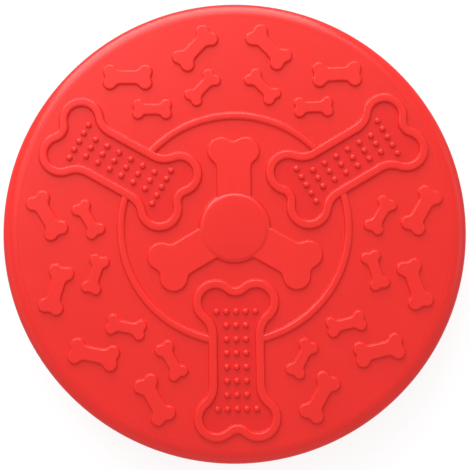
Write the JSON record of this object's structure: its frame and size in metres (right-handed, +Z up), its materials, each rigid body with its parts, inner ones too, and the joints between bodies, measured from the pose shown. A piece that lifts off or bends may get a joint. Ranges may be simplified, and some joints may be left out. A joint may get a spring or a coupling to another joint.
{
  "type": "flying disc",
  "caption": "Soft rubber flying disc for dogs: a flat plate in a deep rounded rim, with raised bone-shaped grip reliefs and nubs round a low centre boss.",
  "frame": {"origin": "centre of the disc on the ground plane, at the level of the foot's flat land", "axes": "+Z up along the disc's axis of spin, -Y along one of the large bones"},
  "size_m": [0.225, 0.225, 0.0282],
  "materials": {
    "red_rubber": "satin moulded rubber"
  },
  "bodies": {
    "root": {"flight_plate": "red_rubber", "rim": "red_rubber", "centre_boss": "red_rubber", "bone_rib_1": "red_rubber", "bone_rib_2": "red_rubber", "bone_rib_3": "red_rubber", "nub_pad_1": "red_rubber", "nub_pad_2": "red_rubber", "nub_pad_3": "red_rubber", "ring_arc_1": "red_rubber", "ring_arc_2": "red_rubber", "ring_arc_3": "red_rubber", "spoke_bone_1": "red_rubber", "spoke_bone_2": "red_rubber", "spoke_bone_3": "red_rubber", "outer_bone_01": "red_rubber", "outer_bone_02": "red_rubber", "outer_bone_03": "red_rubber", "outer_bone_04": "red_rubber", "outer_bone_05": "red_rubber", "outer_bone_06": "red_rubber", "outer_bone_07": "red_rubber", "outer_bone_08": "red_rubber", "outer_bone_09": "red_rubber", "outer_bone_10": "red_rubber", "outer_bone_11": "red_rubber", "outer_bone_12": "red_rubber", "inner_bone_01": "red_rubber", "inner_bone_02": "red_rubber", "inner_bone_03": "red_rubber", "inner_bone_04": "red_rubber", "inner_bone_05": "red_rubber", "inner_bone_06": "red_rubber", "inner_bone_07": "red_rubber", "inner_bone_08": "red_rubber", "inner_bone_09": "red_rubber", "inner_bone_10": "red_rubber", "inner_bone_11": "red_rubber", "inner_bone_12": "red_rubber"}
  },
  "joints": []
}
